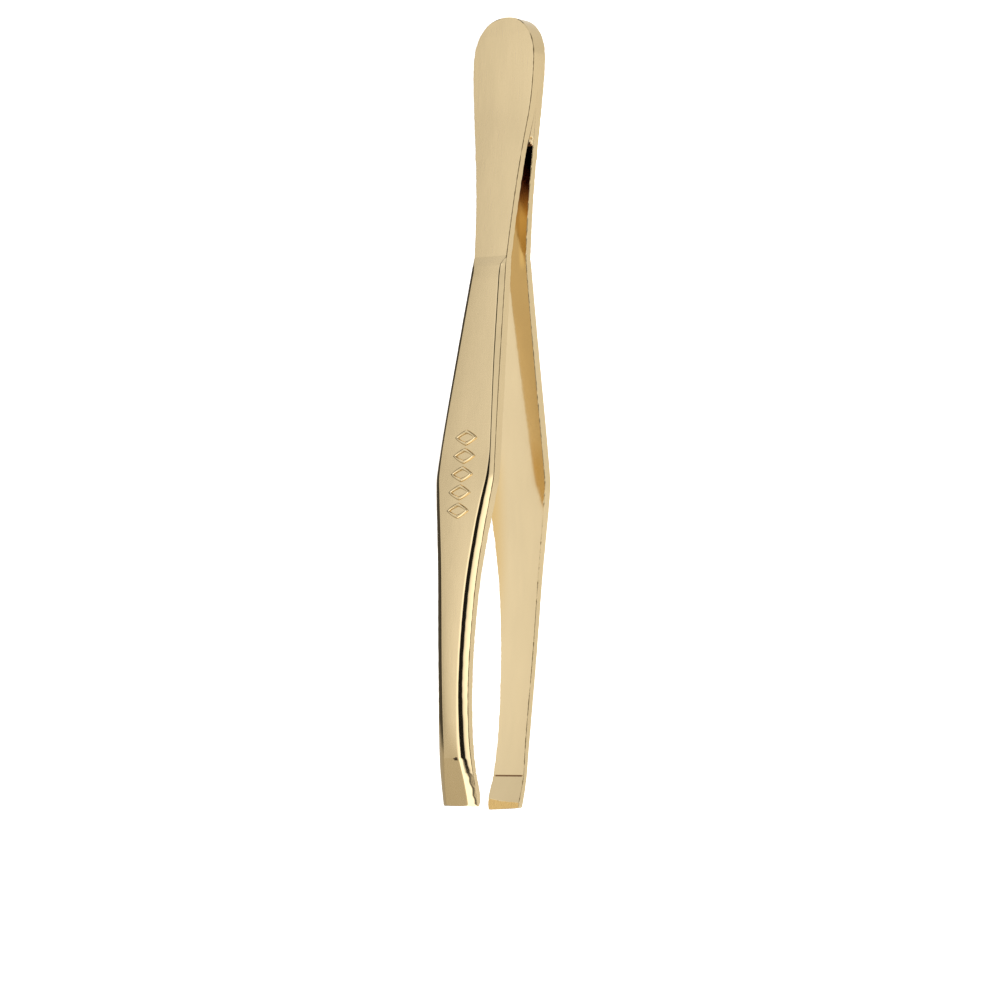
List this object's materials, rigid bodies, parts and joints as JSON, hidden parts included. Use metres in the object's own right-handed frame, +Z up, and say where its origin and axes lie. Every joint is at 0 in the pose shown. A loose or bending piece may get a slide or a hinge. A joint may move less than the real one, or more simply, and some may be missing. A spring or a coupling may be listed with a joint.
{
  "type": "stamp tongs",
  "caption": "Sprung tongs: bowed gold-plated metal arms joined at a round head, with inward-bent claws ground flat at the ends.",
  "frame": {"origin": "centre of the bounding box's bottom, with the tongs lying on the side edges of their arms", "axes": "+X from the round head to the claws, +Y from the front arm to the back arm, +Z up, across the width of the arms"},
  "size_m": [0.095, 0.0134, 0.0097],
  "materials": {
    "gold_plate": "gold plated, satin faces and bright bevels",
    "plated_weld": "gold plated weld metal"
  },
  "bodies": {
    "head": {"front_arm_head": "gold_plate", "back_arm_head": "gold_plate", "head_weld": "plated_weld"},
    "front_leg": {"front_arm_leg": "gold_plate"},
    "back_leg": {"back_arm_leg": "gold_plate"}
  },
  "joints": [
    {"name": "front_leg_flex", "type": "hinge", "parent": "head", "child": "front_leg", "pos_m": [-0.026, -0.00123, 0.00487], "axis": [0, 0, 1], "range_deg": [-1.5, 2.65], "stiffness_Nm_per_rad": 1.5},
    {"name": "back_leg_flex", "type": "hinge", "parent": "head", "child": "back_leg", "pos_m": [-0.026, 0.00123, 0.00487], "axis": [0, 0, 1], "range_deg": [-2.65, 1.5], "stiffness_Nm_per_rad": 1.5}
  ],
  "couplings": [
    {"joint": "back_leg_flex", "follows": "front_leg_flex", "ratio": -1}
  ]
}
